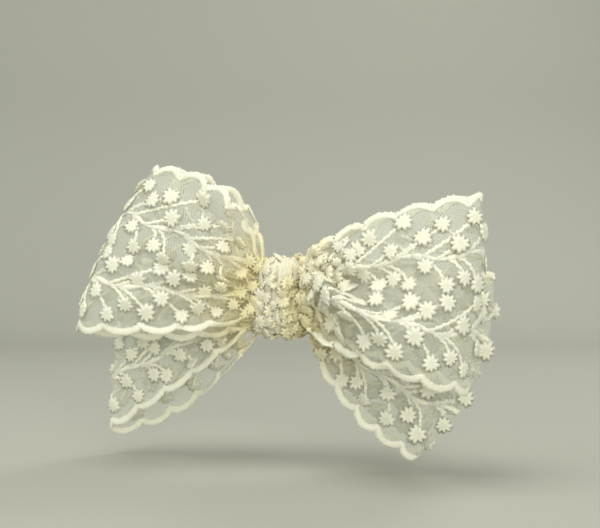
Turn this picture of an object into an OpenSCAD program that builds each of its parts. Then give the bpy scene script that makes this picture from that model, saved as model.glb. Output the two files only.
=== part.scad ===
// Lace hair bow: two gathered lace bows, one on the other, tied with thread, wrapped by a lace
// knot band and glued through a felt pad to a ribbon-lined alligator clip.
// The frame's origin is the middle of the clip's grip. +X runs along the bow to the wearer's
// left, -Y is the bow's face and +Z is up. Millimetres.

/* [Lace] */
// Width of the lace trim, edge to edge
lace_w = 56; // [40:1:70]
// Thickness of the lace where it lies open
lace_t = 1; // [0.6:0.1:1.6]
// Thickness of the lace where it is gathered in the knot
gathered_t = 1.9; // [1.2:0.1:2.4]
// Height that the lace is gathered to in the knot
gather_h = 12.8; // [9:0.2:14]

/* [Upper bow] */
// Distance from the knot to the middle of the left fold
upper_left_reach = 47.5; // [36:0.5:60]
// Angle of the left loop above level
upper_left_rise = 11.8; // [0:0.2:25]
// Lean of the left fold, top towards the knot
upper_left_tilt = 23; // [-10:1:30]
// How far the left loop's front puffs out
upper_left_puff = 17; // [8:1:24]
// Distance from the knot to the middle of the right fold
upper_right_reach = 53.8; // [36:0.2:60]
// Angle of the right loop above level
upper_right_rise = 5.2; // [0:0.2:25]
// Lean of the right fold, top towards the knot
upper_right_tilt = 0; // [-10:0.5:30]
// How far the right loop's front puffs out
upper_right_puff = 19; // [8:1:24]
// How far the upper folds stand forward of the knot
upper_flare = 7; // [4:0.5:10]

/* [Lower bow] */
// Distance from the knot to the middle of the left fold
lower_left_reach = 52.8; // [36:0.2:60]
// Angle of the left loop below level
lower_left_drop = 19.8; // [5:0.2:30]
// Lean of the left fold, top towards the knot
lower_left_tilt = 5; // [-25:1:20]
// Distance from the knot to the middle of the right fold
lower_right_reach = 49; // [36:1:60]
// Angle of the right loop below level
lower_right_drop = 17.5; // [5:0.5:30]
// Lean of the right fold, top towards the knot
lower_right_tilt = -19.5; // [-25:0.5:20]
// How far the lower loops' backs puff out at their bottom edge
lower_puff = 9; // [5:0.5:11]
// How far the lower folds stand back from the knot
lower_flare = 1.8; // [1:0.2:4]

/* [Knot] */
// Width of the knot band along the bow at its bottom
knot_w = 14; // [11:0.5:20]
// Width of the knot band along the bow at its top
knot_top_w = 10.5; // [8:0.5:14]
// Height of the knot band
knot_h = 20.4; // [18:0.2:26]
// Height of the knot's centre above the clip's
knot_z = 0.2; // [0:0.1:1.5]
// Thickness of the folded lace band
band_t = 1.1; // [0.8:0.1:1.8]
// Thickness of the binding thread
thread_t = 0.4; // [0.3:0.05:0.7]
// Number of turns of the binding thread
thread_turns = 6; // [3:1:8]
// Number of stitches that close the knot band
stitches = 4; // [2:1:6]

/* [Backing] */
// Length of the felt pad
felt_l = 26; // [18:1:34]
// Height of the felt pad
felt_h = 9.4; // [7:0.2:9.8]
// Thickness of the felt pad
felt_t = 1.5; // [0.8:0.1:2]
// Length of the glue layer
glue_l = 23; // [14:1:30]
// Width of the glue layer
glue_w = 7; // [4:0.5:8]
// Thickness of the glue layer
glue_t = 0.6; // [0.3:0.1:1]

/* [Clip] */
// Length of the jaws, hinge to tip
jaw_l = 40; // [32:1:48]
// Length of the finger levers, hinge to end
lever_l = 17; // [13:1:20]
// Distance of the hinge from the bow's centre
hinge_x = 10; // [6:1:14]
// Distance of the hinge behind the grip
hinge_y = 3.6; // [3.4:0.1:4.4]
// Width of the upper leaf
leaf_w = 9; // [8:0.5:11]
// Thickness of the steel
leaf_t = 0.8; // [0.5:0.1:0.9]
// Diameter of the hinge pin
pin_d = 1.8; // [1.4:0.1:2.2]
// Running clearance of the pin in the lower ears, all round
pin_clear = 0.05; // [0.02:0.01:0.1]
// Diameter of the spring wire
wire_d = 0.8; // [0.6:0.05:1]
// Number of turns of the spring
spring_turns = 4; // [3:1:4]
// Pitch of the teeth
tooth_pitch = 2.5; // [1.5:0.1:3.5]
// Number of teeth on each side
teeth = 6; // [3:1:8]
// Thickness of the lining ribbon
ribbon_t = 0.4; // [0.3:0.1:0.6]
// Gap between the closed jaws
grip_gap = 0.2; // [0.1:0.05:0.5]

/* [Hidden] */
$fn = 48;
seat = 0.05;        // gap between pieces that lie on each other
slack = 0.15;       // gap round the layers in the knot
ear_gap = 0.25;     // side play between the clip's ears
ear_r = 2.1;        // round end of an ear
head_t = 0.5;       // rivet head of the pin
head_r = 1.6;
thread_r = 0.7;     // corner of a turn of thread: it follows the layers' square corner
loop_steps = 36;    // columns of one loop's solid
rows = 9;           // rows across the lace
ridge_half = 0.13;  // half the width of the right loop's front ridge, as a share of the lace's width
ridge_out = 4;

// The layers from the grip forwards
ribbon_in = -grip_gap / 2;
leaf_in = ribbon_in - ribbon_t - seat;
leaf_out = leaf_in - leaf_t;
ribbon_out = leaf_out - seat - ribbon_t;
glue_out = ribbon_out - glue_t;
felt_out = glue_out - felt_t;
layer_pitch = gathered_t + slack;
stack_d = 3 * layer_pitch + gathered_t;
stack_h = knot_h - 2 * (band_t + thread_t + 2 * slack);
knot_d = stack_d + 2 * (band_t + thread_t + 2 * slack);
knot_y = felt_out - knot_d / 2;
round_r = thread_r + slack + band_t;

// Where the lace leaves the knot at height z: the knot tapers to its top
function knot_half(z) = (knot_top_w + (knot_w - knot_top_w) * (knot_z + knot_h / 2 - z) / knot_h) / 2;
function pinch_x(z) = knot_half(z) + 0.5;

// A value that passes through a, b and c at w = 0, 0.5 and 1
function through(a, b, c, w) = a * (1 - w) * (1 - 2 * w) + b * 4 * w * (1 - w) + c * w * (2 * w - 1);
function blend(a, b, s) = a + (b - a) * s;
function ease(s) = let(c = max(0, min(1, s))) c * c * (3 - 2 * c);
function turned(angle) = [cos(angle), sin(angle)];

// One loop of lace. side is 1 on the right. The fold is a line of the lace's spread width whose
// middle bellies out. arch says how soon the bottom, middle and top of the lace rise to the fold.
// front and back are how far the two layers puff out at bottom, middle and top. The back layer
// hangs below the front one by show.
function loop_shape(side, reach, rise, tilt, spread, belly, centre_z, layer, flare, arch, front, back,
    ridge, show) = [
    side, reach * [side * cos(rise), sin(rise)], lace_w * spread / 2 * [-side * sin(tilt), cos(tilt)],
    belly * [side * cos(tilt), sin(tilt)], centre_z, layer, flare, arch, front, back, ridge, show
];

upper_z = knot_z + (stack_h - gather_h) / 2;
lower_z = knot_z - (stack_h - gather_h) / 2;
upper_back = [2.2, 2.6, 2.2];
lower_front = [0.8, 0.5, 0.4];
lower_back = [lower_puff, 0.45 * lower_puff, 1.4];
upper_left = loop_shape(-1, upper_left_reach, upper_left_rise, upper_left_tilt, 0.93, 2.5, upper_z, 0,
    -upper_flare, [0.8, 0.62, 1.03], upper_left_puff * [1, 0.95, 0.3], upper_back, 0, 2.5);
upper_right = loop_shape(1, upper_right_reach, upper_right_rise, upper_right_tilt, 0.9, 2, upper_z, 0,
    -upper_flare, [0.6, 0.6, 0.74], upper_right_puff * [0.8, 0.85, 0.15], upper_back, ridge_out, 0);
lower_left = loop_shape(-1, lower_left_reach, -lower_left_drop, lower_left_tilt, 0.92, 2.5, lower_z, 2,
    lower_flare, [0.55, 0.5, 0.5], lower_front, lower_back, 0, 6);
lower_right = loop_shape(1, lower_right_reach, -lower_right_drop, lower_right_tilt, 0.98, 7, lower_z, 2,
    lower_flare, [0.72, 0.6, 0.5], lower_front, lower_back, 0, 2);

// The middle of the lace at t, from 0 in front of the knot round the fold at 0.5 to 1 behind it,
// and w across the lace, from 0 at the bottom edge to 1 at the top
function lace_point(s, t, w) =
    let(
        r = (1 - cos(360 * t)) / 2,
        start_z = s[4] + (w - 0.5) * gather_h,
        start = [s[0] * pinch_x(start_z), start_z],
        fold = s[1] + (2 * w - 1) * s[2] + 4 * w * (1 - w) * s[3],
        arch = through(s[7][0], s[7][1], s[7][2], w),
        pull = [blend(start[0], fold[0], 1 - arch), blend(start[1], fold[1], arch)],
        across = (1 - r) * (1 - r) * start + 2 * r * (1 - r) * pull + r * r * fold,
        arc = abs(sin(360 * t)),
        swell = arc * sin(180 * t),
        layer = s[5] + ease((t - 0.3) / 0.4) - 1.5,
        crest = through(0.55, 0.28, 0.4, r),
        front = through(s[8][0], s[8][1], s[8][2], w)
            + s[10] * exp(-pow((w - crest) / ridge_half, 2)) * (1 - r),
        back = through(s[9][0], s[9][1], s[9][2], w),
        depth = knot_y + layer * layer_pitch + s[6] * r + (t < 0.5 ? -front : back) * swell
    )
    [across[0], depth, across[1] - (t > 0.5 ? s[11] * (1 - w) * arc : 0)];

// Columns of points round a whole bow: right loop front to back, then left loop back to front
function bow_columns(left, right) = concat(
    [for (i = [0:loop_steps]) [for (j = [0:rows]) lace_point(right, i / loop_steps, j / rows)]],
    [for (i = [0:loop_steps]) [for (j = [0:rows]) lace_point(left, 1 - i / loop_steps, j / rows)]]
);

function unit(v) = v / norm(v);

// A closed band of lace of the given columns: outer skin, inner skin and the two edges
module lace_ring(columns, right, left) {
    count = len(columns);
    skins = [for (i = [0:count - 1]) [for (j = [0:rows])
        let(
            along = columns[(i + 1) % count][j] - columns[(i + count - 1) % count][j],
            across = columns[i][min(j + 1, rows)] - columns[i][max(j - 1, 0)],
            out = unit(cross(across, along)),
            open = ease((abs(columns[i][j][0]) - knot_w / 2) / 7),
            half = blend(gathered_t, lace_t, open) / 2
        )
        [columns[i][j] + half * out, columns[i][j] - half * out]
    ]];
    stride = 2 * (rows + 1);
    function at(i, j, skin) = (i % count) * stride + 2 * j + skin;
    points = [for (column = skins) for (pair = column) for (p = pair) p];
    faces = [
        for (i = [0:count - 1]) each [
            for (j = [0:rows - 1]) each [
                [at(i, j, 0), at(i + 1, j, 0), at(i + 1, j + 1, 0)],
                [at(i, j, 0), at(i + 1, j + 1, 0), at(i, j + 1, 0)],
                [at(i, j, 1), at(i + 1, j + 1, 1), at(i + 1, j, 1)],
                [at(i, j, 1), at(i, j + 1, 1), at(i + 1, j + 1, 1)]
            ],
            [at(i, 0, 0), at(i, 0, 1), at(i + 1, 0, 1)],
            [at(i, 0, 0), at(i + 1, 0, 1), at(i + 1, 0, 0)],
            [at(i, rows, 0), at(i + 1, rows, 1), at(i, rows, 1)],
            [at(i, rows, 0), at(i + 1, rows, 0), at(i + 1, rows, 1)]
        ]
    ];
    polyhedron(points, faces);
}

module upper_bow_lace() {
    color("ivory") lace_ring(bow_columns(upper_left, upper_right));
}

module lower_bow_lace() {
    color("ivory") lace_ring(bow_columns(lower_left, lower_right));
}

// A rectangle with round corners, centred
module rounded(width, height, radius) {
    square([width - 2 * radius, height], center = true);
    square([width, height - 2 * radius], center = true);
    for (x = [-1, 1], y = [-1, 1])
        translate([x * (width / 2 - radius), y * (height / 2 - radius)]) circle(radius);
}

// A ring round the knot's middle that stands off the bow's axis, as wide along X as length
module knot_ring(depth, height, wall, radius, length) {
    translate([0, knot_y, knot_z]) rotate([90, 0, 90]) linear_extrude(length, center = true)
        difference() {
            rounded(depth, height, radius);
            rounded(depth - 2 * wall, height - 2 * wall, radius - wall);
        }
}

module knot_band() {
    low = knot_z - knot_h / 2;
    high = knot_z + knot_h / 2;
    color("ivory") intersection() {
        knot_ring(knot_d, knot_h, band_t, round_r, knot_w);
        translate([0, knot_y + knot_d, 0]) rotate([90, 0, 0]) linear_extrude(2 * knot_d)
            polygon([[-knot_w / 2, low], [knot_w / 2, low], [knot_top_w / 2, high], [-knot_top_w / 2, high]]);
    }
}

module binding_thread() {
    pitch = thread_t * 1.3;
    color("white") for (i = [0:thread_turns - 1])
        translate([(i - (thread_turns - 1) / 2) * pitch, 0, 0])
            knot_ring(stack_d + 2 * (slack + thread_t), stack_h + 2 * (slack + thread_t), thread_t, thread_r,
                thread_t);
}

module knot_stitches() {
    stitch_r = 0.3;
    low = felt_h / 2 + 0.3;
    high = knot_z + knot_h / 2 - round_r;
    pitch = knot_top_w / stitches;
    color("white") for (i = [0:stitches - 1])
        translate([(i - (stitches - 1) / 2) * pitch, felt_out + stitch_r + seat, low])
            cylinder(h = high - low, r = stitch_r);
}

// A plate on the XZ plane with round corners, from y = near forwards to y = far
module plate(length, height, radius, near, far) {
    translate([0, near, 0]) rotate([90, 0, 0]) linear_extrude(near - far) rounded(length, height, radius);
}

module felt_pad() {
    color("linen") plate(felt_l, felt_h, 3, glue_out, felt_out);
}

module glue_layer() {
    color("beige") plate(glue_l, glue_w, 2, ribbon_out, glue_out);
}

leaf_mid_x = hinge_x + (lever_l - jaw_l) / 2;
leaf_l = jaw_l + lever_l;
tip_x = hinge_x - jaw_l;
lever_x = hinge_x + lever_l;
lower_w = leaf_w - 2 * leaf_t - 2 * ear_gap;

// The lining ribbon: over the upper leaf, round both its ends and back inside up to the ears
module clip_ribbon() {
    inside = ear_r + 1.6;
    wrap = seat + ribbon_t;
    color("ivory") translate([0, 0, -leaf_w / 2]) linear_extrude(leaf_w) {
        translate([tip_x - wrap, ribbon_out]) square([leaf_l + 2 * wrap, ribbon_t]);
        for (x = [tip_x - wrap, lever_x + seat])
            translate([x, ribbon_out]) square([ribbon_t, ribbon_in - ribbon_out]);
        translate([tip_x - wrap, ribbon_in - ribbon_t]) square([jaw_l - inside + wrap, ribbon_t]);
        translate([hinge_x + inside, ribbon_in - ribbon_t]) square([lever_l - inside + wrap, ribbon_t]);
    }
}

// A pair of ears at the hinge: from y = root to the pin, with the pin's hole
module ears(outer_w, root, hole_r) {
    for (side = [-1, 1]) translate([hinge_x, 0, side * (outer_w - leaf_t) / 2])
        difference() {
            linear_extrude(leaf_t, center = true) {
                translate([0, hinge_y]) circle(ear_r);
                translate([-ear_r, min(root, hinge_y)]) square([2 * ear_r, abs(root - hinge_y)]);
            }
            translate([0, hinge_y, 0]) cylinder(h = 2 * leaf_t, r = hole_r, center = true);
        }
}

module clip_upper_leaf() {
    color("silver") {
        translate([leaf_mid_x, 0, 0]) plate(leaf_l, leaf_w, 1.5, leaf_in, leaf_out);
        ears(leaf_w, leaf_out + leaf_t / 2, pin_d / 2 + 0.02);
    }
}

// The lower leaf's run: flat jaw, ramp over the spring and raised lever
jaw_y = grip_gap / 2 + 1.15 + leaf_t / 2;
crown_y = hinge_y + ear_r + leaf_t + 0.8;
lower_run = [
    [tip_x, jaw_y], [hinge_x - 15, jaw_y], [hinge_x - 5.5, crown_y - 1.2], [hinge_x - 2, crown_y],
    [hinge_x + 3, crown_y + 0.5], [lever_x, crown_y + 3.2]
];

// The corners of a strip along a run, on the side of the given sign
function strip_side(run, sign) = [for (i = [0:len(run) - 1])
    let(
        before = unit(run[max(i, 1)] - run[max(i, 1) - 1]),
        after = unit(run[min(i + 1, len(run) - 1)] - run[min(i, len(run) - 2)]),
        mean = unit(before + after)
    )
    run[i] + sign * leaf_t / 2 / (mean * before) * [-mean[1], mean[0]]
];

module bent_strip(run) {
    low = strip_side(run, -1);
    polygon(concat(strip_side(run, 1), [for (i = [len(low) - 1:-1:0]) low[i]]));
}

module clip_lower_leaf() {
    root = jaw_y - leaf_t / 4;
    saw = concat(
        [[0, root]],
        [for (i = [0:teeth - 1]) each [
            [(i + 0.5) * tooth_pitch, grip_gap / 2], [(i + 1) * tooth_pitch, root - leaf_t / 2]
        ]],
        [[teeth * tooth_pitch, root]]
    );
    color("silver") {
        translate([0, 0, -lower_w / 2]) linear_extrude(lower_w) bent_strip(lower_run);
        for (side = [-1, 1]) translate([tip_x + 0.5, 0, side * (lower_w - leaf_t) / 2])
            linear_extrude(leaf_t, center = true) polygon(saw);
        ears(lower_w, crown_y, pin_d / 2 + pin_clear);
    }
}

module hinge_pin() {
    shank = leaf_w + 2 * 0.02;
    color("silver") translate([hinge_x, hinge_y, 0]) {
        cylinder(h = shank, r = pin_d / 2, center = true);
        for (side = [-1, 1]) translate([0, 0, side * (shank + head_t) / 2])
            cylinder(h = head_t, r = head_r, center = true);
    }
}

// The torsion spring: one leg along the upper leaf's lever, the coil, one leg under the lower lever
module hinge_spring() {
    coil_r = pin_d / 2 + 0.65 + wire_d / 2;
    leg = lever_l * 0.7;
    pitch = wire_d * 1.06;
    steps = 16;
    half = pitch * (spring_turns + 0.5) / 2;
    rest_y = ribbon_in + wire_d / 2 + seat;
    lever_y = crown_y + 0.5 + 2.7 * (leg - 3) / (lever_l - 3) - leaf_t / 2 - wire_d / 2 - 0.1;
    low_leg = [[leg, rest_y - hinge_y, -half], [leg * 0.45, (rest_y - hinge_y - coil_r) / 2, -half]];
    coil = [for (i = [0:steps * (spring_turns + 0.5)])
        let(a = -90 - 360 * i / steps)
        [coil_r * cos(a), coil_r * sin(a), -half + pitch * i / steps]];
    top_leg = [[leg * 0.45, (lever_y - hinge_y + coil_r) / 2, half], [leg, lever_y - hinge_y, half]];
    color("gray") translate([hinge_x, hinge_y, 0]) swept(concat(low_leg, coil, top_leg), wire_d / 2, 8);
}

// A round wire along a path
module swept(path, radius, sides) {
    last = len(path) - 1;
    rings = [for (i = [0:last])
        let(
            t = unit(path[min(i + 1, last)] - path[max(i - 1, 0)]),
            u = unit(cross(t, [0, 0.01, 1])),
            v = cross(t, u)
        )
        [for (k = [0:sides - 1]) path[i] + radius * (cos(360 * k / sides) * u + sin(360 * k / sides) * v)]
    ];
    faces = concat(
        [[for (k = [sides - 1:-1:0]) k]],
        [for (i = [0:last - 1], k = [0:sides - 1])
            [i * sides + k, i * sides + (k + 1) % sides, (i + 1) * sides + (k + 1) % sides, (i + 1) * sides + k]],
        [[for (k = [0:sides - 1]) last * sides + k]]
    );
    polyhedron([for (ring = rings) for (p = ring) p], faces);
}

upper_bow_lace();
lower_bow_lace();
knot_band();
binding_thread();
knot_stitches();
felt_pad();
glue_layer();
clip_ribbon();
clip_upper_leaf();
clip_lower_leaf();
hinge_pin();
hinge_spring();
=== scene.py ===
import math
from collections import namedtuple

import bpy
import numpy as np
from mathutils import Matrix, Vector


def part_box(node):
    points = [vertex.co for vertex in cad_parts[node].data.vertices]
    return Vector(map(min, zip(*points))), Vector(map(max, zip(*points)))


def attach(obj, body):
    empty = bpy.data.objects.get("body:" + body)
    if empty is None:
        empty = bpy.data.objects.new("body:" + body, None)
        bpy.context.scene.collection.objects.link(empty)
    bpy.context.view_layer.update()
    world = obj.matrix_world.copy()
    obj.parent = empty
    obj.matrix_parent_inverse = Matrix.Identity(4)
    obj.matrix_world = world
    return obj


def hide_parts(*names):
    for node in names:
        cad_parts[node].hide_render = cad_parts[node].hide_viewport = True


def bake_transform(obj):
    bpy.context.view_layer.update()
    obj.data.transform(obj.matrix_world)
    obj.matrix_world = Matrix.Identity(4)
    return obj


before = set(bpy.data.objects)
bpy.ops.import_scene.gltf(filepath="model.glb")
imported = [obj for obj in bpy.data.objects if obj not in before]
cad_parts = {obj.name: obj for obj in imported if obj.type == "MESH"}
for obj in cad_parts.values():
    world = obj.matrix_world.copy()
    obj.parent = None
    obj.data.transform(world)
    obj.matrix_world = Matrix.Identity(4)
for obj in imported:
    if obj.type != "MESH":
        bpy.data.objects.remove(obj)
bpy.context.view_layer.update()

bl_info = {
    "name": "Lace hair bow",
    "version": (1, 0, 0),
    "blender": (4, 5, 0),
    "location": "View3D > Sidebar > Lace bow",
    "description": "Gathers embroidered lace into a looped hair bow on a lined clip",
    "category": "Add Mesh",
}

MM = 0.001


# ---------------------------------------------------------------- settings

COLOUR = {"subtype": "COLOR", "size": 3, "min": 0, "max": 1}


class LaceSettings(bpy.types.PropertyGroup):
    """The lace trim and how it is stitched. Lengths are in metres."""

    width: bpy.props.FloatProperty(
        name="Width", description="Width of the trim from edge to edge",
        default=0.056, min=0.02, unit="LENGTH",
    )
    scallop: bpy.props.FloatProperty(
        name="Scallop", description="Length of one scallop of the border",
        default=0.0085, min=0.004, unit="LENGTH",
    )
    scallop_depth: bpy.props.FloatProperty(
        name="Scallop depth", description="How far a scallop bulges out",
        default=0.0023, min=0.0, unit="LENGTH",
    )
    border: bpy.props.FloatProperty(
        name="Border", description="Width of the satin stitched border",
        default=0.0023, min=0.001, unit="LENGTH",
    )
    stem: bpy.props.FloatProperty(
        name="Stem", description="Width of the two long stems", default=0.0016, min=0.0005, unit="LENGTH"
    )
    branch: bpy.props.FloatProperty(
        name="Branch", description="Width of a side branch", default=0.00115, min=0.0004, unit="LENGTH"
    )
    flower: bpy.props.FloatProperty(
        name="Flower", description="Width of a seed head", default=0.0049, min=0.002, unit="LENGTH"
    )
    hole: bpy.props.FloatProperty(
        name="Net hole", description="Distance between the holes of the net",
        default=0.00078, min=0.0004, unit="LENGTH",
    )
    thread_colour: bpy.props.FloatVectorProperty(
        name="Thread", description="Colour of the embroidery thread", default=(0.9, 0.885, 0.71), **COLOUR
    )
    # the thread's colour by the knot is painted warm shade: the yellow that light takes through the stacked
    # layers there
    knot_shade_colour: bpy.props.FloatVectorProperty(
        name="Painted knot shade", description="Colour of the thread by the knot",
        default=(0.97, 0.87, 0.52), **COLOUR,
    )
    # The net is darker and greyer than its ivory thread: painted shade from inside the loops.
    net_colour: bpy.props.FloatVectorProperty(
        name="Net", description="Colour of the net", default=(0.74, 0.75, 0.63), **COLOUR
    )


class KnotSettings(bpy.types.PropertyGroup):
    """The band round the middle. Lengths are in metres."""

    crumple: bpy.props.FloatProperty(
        name="Crumple", description="Height of the crumples in the band",
        default=0.0005, min=0.0, unit="LENGTH",
    )
    roll: bpy.props.FloatProperty(
        name="Roll", description="Height of the plain roll down the band's front",
        default=0.0009, min=0.0, unit="LENGTH",
    )
    # The band's colours are yellower than the loops': partly the lace's own cream, partly painted warm shade
    # of its folded layers.
    thread_colour: bpy.props.FloatVectorProperty(
        name="Knot thread", description="Colour of the embroidery on the band",
        default=(0.94, 0.89, 0.66), **COLOUR,
    )
    net_colour: bpy.props.FloatVectorProperty(
        name="Knot net", description="Colour of the folded net of the band",
        default=(0.87, 0.84, 0.66), **COLOUR,
    )


class ClipSettings(bpy.types.PropertyGroup):
    """The lined clip behind the bow. Lengths are in metres."""

    ribbon: bpy.props.FloatProperty(
        name="Ribbon width", description="Width of the lining ribbon, a little over the leaf's",
        default=0.01, min=0.01, unit="LENGTH",
    )
    rib: bpy.props.FloatProperty(
        name="Rib", description="Pitch of the ribbon's ribs", default=0.0006, min=0.0002, unit="LENGTH"
    )
    ribbon_colour: bpy.props.FloatVectorProperty(
        name="Ribbon", description="Colour of the lining ribbon", default=(0.84, 0.8, 0.68), **COLOUR
    )
    steel_colour: bpy.props.FloatVectorProperty(
        name="Steel", description="Colour of the plated steel", default=(0.5, 0.5, 0.51), **COLOUR
    )


class StageSettings(bpy.types.PropertyGroup):
    """The camera and the backdrop."""

    azimuth: bpy.props.FloatProperty(
        name="Azimuth", description="Direction of the camera round the bow",
        default=math.radians(20), subtype="ANGLE",
    )
    lean: bpy.props.FloatProperty(
        name="Lean", description="How far the bow leans in the view",
        default=math.radians(4), subtype="ANGLE",
    )
    distance: bpy.props.FloatProperty(
        name="Distance", description="From the camera to the knot", default=0.281, unit="LENGTH"
    )
    lens: bpy.props.FloatProperty(name="Lens", description="Focal length in millimetres", default=62.4)
    floor_colour: bpy.props.FloatVectorProperty(
        name="Floor", description="Colour of the floor and the backdrop",
        default=(0.43, 0.43, 0.375), **COLOUR,
    )


# ---------------------------------------------------------------- curves


def ease(s):
    """Rises smoothly from 0 to 1 as s does."""
    s = np.clip(s, 0, 1)
    return s * s * (3 - 2 * s)


def bell(x, middle, half):
    """1 at the middle, falling off smoothly to both sides."""
    return np.exp(-(((x - middle) / half) ** 2))


def through(low, middle, high, w):
    """The value at w of the curve through low, middle and high at 0, 0.5 and 1."""
    return low * (1 - w) * (1 - 2 * w) + middle * 4 * w * (1 - w) + high * w * (2 * w - 1)


def bend(start, pull, end, s):
    """The value at s of the curve from start to end that leans towards pull."""
    return (1 - s) ** 2 * start + 2 * s * (1 - s) * pull + s * s * end


def unit(v):
    return v / np.maximum(np.linalg.norm(v, axis=-1, keepdims=True), 1e-9)


def arc_length(line):
    """How far each point of a line is from its first, along the line."""
    return np.concatenate([[0], np.cumsum(np.linalg.norm(np.diff(line, axis=0), axis=1))])


# ---------------------------------------------------------------- the shape of the loops, in millimetres

KNOT_W, KNOT_TOP_W = 14.0, 10.5
KNOT_H, KNOT_D = 20.4, 11.65
KNOT_Y, KNOT_Z = -9.725, 0.2
GATHER_H = 15.4
STACK_H = 16.8
LAYER = 2.05
UPPER_Z = KNOT_Z + (STACK_H - GATHER_H) / 2
LOWER_Z = KNOT_Z - (STACK_H - GATHER_H) / 2
FAN_H = 3.1
TUCKS, TUCK_H = 8, 0.95
RUFFLE_H, RUFFLE_PITCH = 0.45, 17.0


def pinch_x(z):
    """Where the lace leaves the knot at height z."""
    top = KNOT_Z + KNOT_H / 2
    return (KNOT_TOP_W + (KNOT_W - KNOT_TOP_W) * (top - z) / KNOT_H) / 2 + 0.5


def gathers(x, z):
    """The height of the folds that fan out of the knot. All layers have the same folds, so they nest."""
    side = np.sign(x)
    angle = np.arctan2(z - KNOT_Z, np.abs(x) + 4)
    turn = 26 * angle + 1.5 * np.sin(7 * angle + 1.0 + 2.0 * side) + 1.1 * side
    wave = 0.5 + 0.5 * np.sin(turn) + 0.12 * np.sin(2.7 * turn + 1)
    away = np.maximum(np.abs(x) - pinch_x(z), 0)
    return FAN_H * wave * ease(away / 4) * np.exp(-np.maximum(away - 4, 0) / 15)


def tucks(w):
    """The small tight folds that squeeze the lace into the knot."""
    return TUCK_H * np.sin(2 * np.pi * (TUCKS * w + 0.12 * np.sin(9 * w)))


class Loop:
    """One loop of lace, from the knot along its front to the outer fold and back behind.

    side is -1 on the left and 1 on the right. reach and rise place the middle of the outer fold, tilt leans
    it, spread is its share of the lace's width, and belly bulges it outwards. centre and layer say where
    the loop leaves the knot, and flare moves its outer fold back. arch bends its way out, and front and
    back swell its two walls, each given at the lower edge, the middle and the upper edge. ridge is the
    height of the roll on the front, and show lowers the back wall below the front one. folds has, for each
    fold of the front, w at the knot, w at the outer fold, half width, height, start and end.
    """

    def __init__(self, lace_w, side, reach, rise, tilt, spread, belly, centre, layer, flare, arch, front,
                 back, ridge, show, folds):
        self.side, self.centre, self.layer, self.flare = side, centre, layer, flare
        self.arch, self.front, self.back = arch, front, back
        self.ridge, self.show, self.folds = ridge, show, folds
        rise, tilt = math.radians(rise), math.radians(tilt)
        self.middle = reach * np.array([side * math.cos(rise), math.sin(rise)])
        self.half = lace_w * spread / 2 * np.array([-side * math.sin(tilt), math.cos(tilt)])
        self.belly = belly * np.array([side * math.cos(tilt), math.sin(tilt)])

    def point(self, t, w):
        """The point at t, 0 at the knot in front and 1 at the knot behind, and w, 0 to 1 across the lace."""
        r = (1 - np.cos(2 * np.pi * t)) / 2
        in_front = t < 0.5
        arc = np.abs(np.sin(2 * np.pi * t))
        start_z = self.centre + (w - 0.5) * GATHER_H
        start_x = self.side * pinch_x(start_z)
        fold_x, fold_z = (
            self.middle[k] + (2 * w - 1) * self.half[k] + 4 * w * (1 - w) * self.belly[k] for k in (0, 1)
        )
        arch = through(*self.arch, w)
        x = bend(start_x, start_x + (fold_x - start_x) * (1 - arch), fold_x, r)
        z = bend(start_z, start_z + (fold_z - start_z) * arch, fold_z, r)
        z = z - np.where(t > 0.5, self.show * (1 - w) * arc, 0)
        swell = np.where(in_front, -through(*self.front, w), through(*self.back, w))
        swell = swell * arc * np.sin(np.pi * t)
        layer = self.layer + ease((t - 0.3) / 0.4) - 1.5
        y = KNOT_Y + layer * LAYER + self.flare * r + swell
        crest = through(0.8, 0.3, 0.36, r)
        steep = np.where(w > crest, 0.08, 0.2)
        fade = ease(r / 0.22) * (1 - ease((r - 0.3) / 0.65)) * in_front
        roll = self.ridge * bell(w, crest, steep) * fade
        y, z = y - roll, z + 0.45 * roll
        for near, far, half, height, start, end in self.folds:
            fade = ease(r / start) * (1 - ease((r - end) / 0.25)) * in_front
            y = y - height * bell(w, near + (far - near) * r, half) * fade
        return np.stack([x, y, z], -1)


LOOPS = {
    "upper_left": dict(
        side=-1, reach=47.5, rise=11.8, tilt=23, spread=0.93, belly=2.5, centre=UPPER_Z, layer=0, flare=-7,
        arch=(0.8, 0.62, 1.03), front=(17, 16.15, 5.1), back=(2.2, 2.6, 2.2), ridge=0, show=2.5,
        folds=((0.8, 0.78, 0.07, -2.2, 0.05, 0.25), (0.55, 0.6, 0.09, 1.2, 0.05, 0.5),
               (0.3, 0.3, 0.06, -1.2, 0.05, 0.3), (0.95, 0.95, 0.08, 1.5, 0.05, 0.4)),
    ),
    "upper_right": dict(
        side=1, reach=53.8, rise=5.2, tilt=0, spread=0.9, belly=2, centre=UPPER_Z, layer=0, flare=-7,
        arch=(0.6, 0.6, 0.74), front=(15.2, 16.15, 2.85), back=(2.2, 2.6, 2.2), ridge=9, show=0,
        folds=((0.62, 0.56, 0.12, -3.5, 0.03, 0.6), (0.2, 0.1, 0.08, -2.5, 0.03, 0.5)),
    ),
    "lower_left": dict(
        side=-1, reach=52.8, rise=-19.8, tilt=5, spread=0.92, belly=2.5, centre=LOWER_Z, layer=2, flare=1.8,
        arch=(0.55, 0.5, 0.5), front=(0.8, 0.5, 0.4), back=(9, 4.05, 1.4), ridge=0, show=6,
        folds=((0.6, 0.62, 0.16, 2.4, 0.1, 0.8), (0.3, 0.3, 0.06, -1.2, 0.05, 0.4)),
    ),
    "lower_right": dict(
        side=1, reach=49, rise=-17.5, tilt=-19.5, spread=0.98, belly=7, centre=LOWER_Z, layer=2, flare=1.8,
        arch=(0.72, 0.6, 0.5), front=(0.8, 0.5, 0.4), back=(9, 4.05, 1.4), ridge=0, show=2,
        folds=((0.45, 0.4, 0.08, 1.6, 0.05, 0.6), (0.2, 0.22, 0.06, -1.0, 0.05, 0.4)),
    ),
}

Run = namedtuple("Run", "long loop way along")
Bridge = namedtuple("Bridge", "long first second end")


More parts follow.
